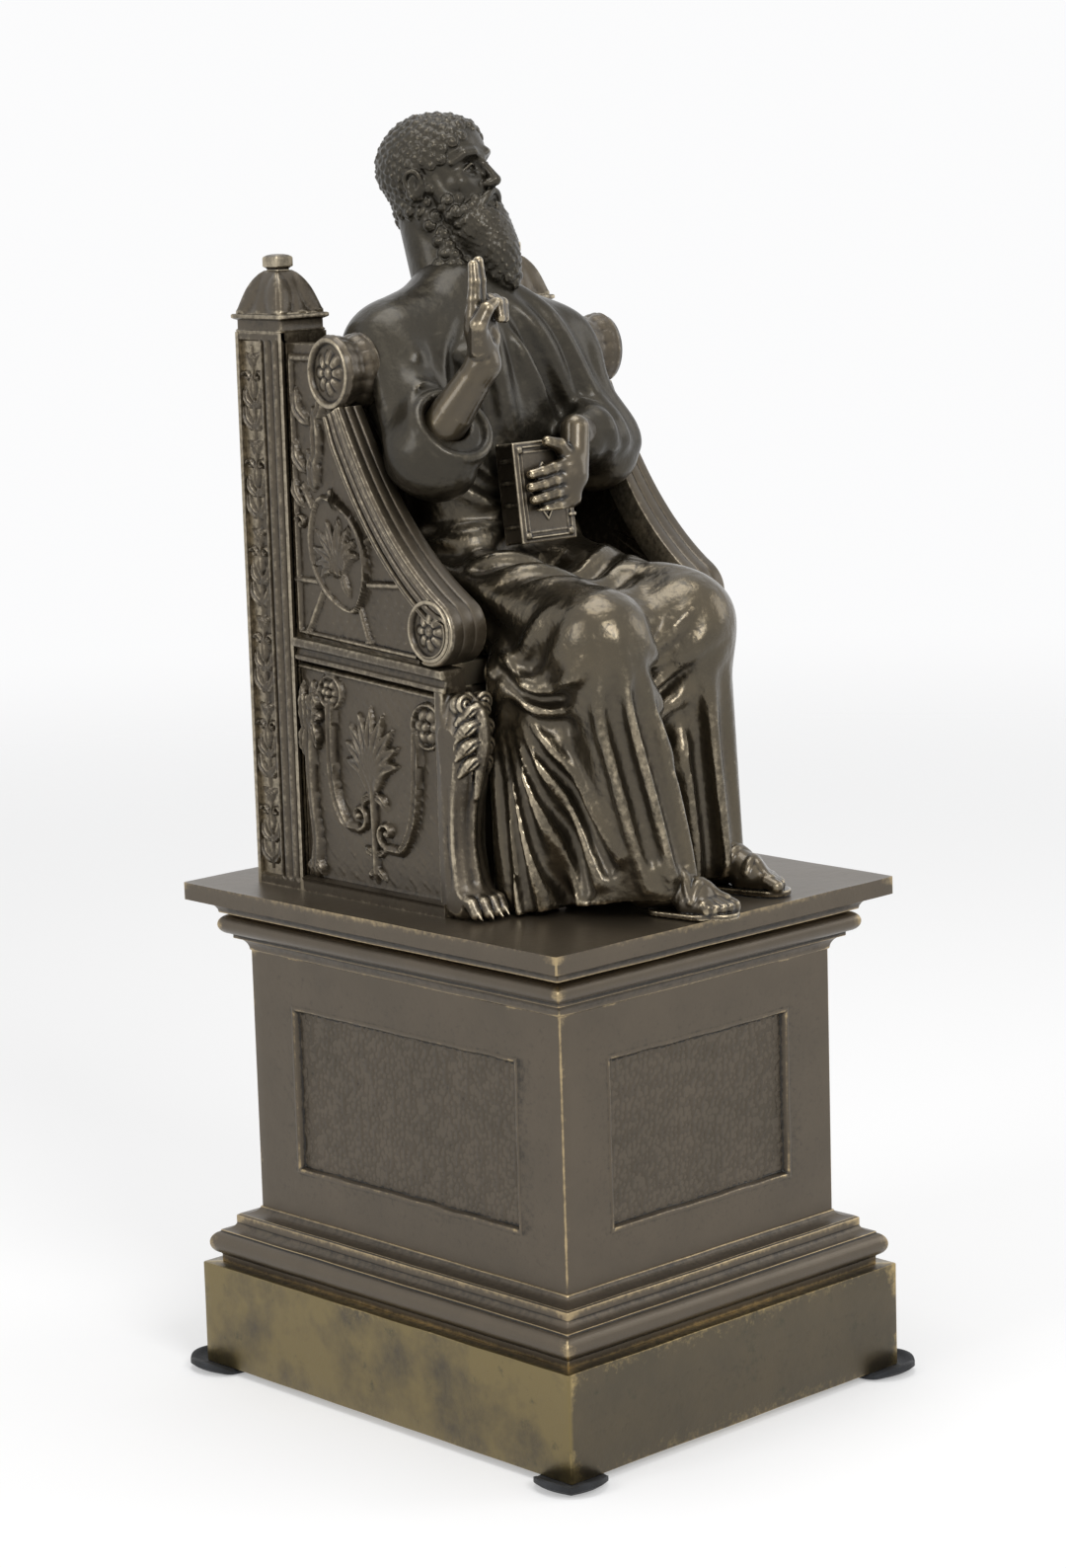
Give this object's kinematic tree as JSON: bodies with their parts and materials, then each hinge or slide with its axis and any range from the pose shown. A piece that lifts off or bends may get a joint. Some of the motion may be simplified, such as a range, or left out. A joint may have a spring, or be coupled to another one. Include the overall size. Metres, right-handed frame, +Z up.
{
  "type": "saint statue",
  "caption": "Bearded saint with a book, seated on a scrolled throne over a panelled pedestal, one hand raised in blessing; a bronze desk or shelf ornament.",
  "frame": {"origin": "middle of the footprint, on the surface that the pads stand on", "axes": "+Z up; the figure faces -Y and its right hand is on the -X side"},
  "size_m": [0.1186, 0.1374, 0.2979],
  "materials": {
    "dark_bronze": "dark brown-olive patina, satin, rubbed bright on the high spots",
    "brown_bronze": "brown patina, satin",
    "worn_bronze": "worn olive-gold patina with dark spots",
    "plain_steel": "plain turned steel, hidden inside",
    "black_rubber": "matt black"
  },
  "bodies": {
    "root": {"pad_front_right": "black_rubber", "pad_front_left": "black_rubber", "pad_rear_left": "black_rubber", "pad_rear_right": "black_rubber", "plinth_block": "worn_bronze", "base_moulding": "brown_bronze", "die": "brown_bronze", "cornice_moulding": "brown_bronze", "top_slab": "brown_bronze", "arm_left": "dark_bronze", "arm_right": "dark_bronze", "book": "brown_bronze", "figure_screw_left": "plain_steel", "figure_screw_right": "plain_steel", "finial_left": "dark_bronze", "finial_right": "dark_bronze", "head": "dark_bronze", "left_foot": "dark_bronze", "left_forearm_and_hand": "dark_bronze", "leg_screw_left": "plain_steel", "leg_screw_right": "plain_steel", "low_scroll_left": "dark_bronze", "low_scroll_right": "dark_bronze", "lower_panel_left": "dark_bronze", "lower_panel_right": "dark_bronze", "paw_leg_left": "dark_bronze", "paw_leg_right": "dark_bronze", "post_cap_left": "dark_bronze", "post_cap_right": "dark_bronze", "post_left": "dark_bronze", "post_right": "dark_bronze", "post_screw_left": "plain_steel", "post_screw_right": "plain_steel", "right_foot": "dark_bronze", "right_forearm_and_hand": "dark_bronze", "robed_body": "dark_bronze", "seat_board": "dark_bronze", "seat_riser": "dark_bronze", "side_rail_left": "dark_bronze", "side_rail_right": "dark_bronze", "throne_back": "dark_bronze", "tie_nut_front_left": "plain_steel", "tie_nut_front_right": "plain_steel", "tie_nut_rear_left": "plain_steel", "tie_nut_rear_right": "plain_steel", "tie_rod_front_left": "plain_steel", "tie_rod_front_right": "plain_steel", "tie_rod_rear_left": "plain_steel", "tie_rod_rear_right": "plain_steel", "tie_washer_front_left": "plain_steel", "tie_washer_front_right": "plain_steel", "tie_washer_rear_left": "plain_steel", "tie_washer_rear_right": "plain_steel", "top_scroll_left": "dark_bronze", "top_scroll_right": "dark_bronze", "wing_panel_left": "dark_bronze", "wing_panel_right": "dark_bronze"}
  },
  "joints": []
}
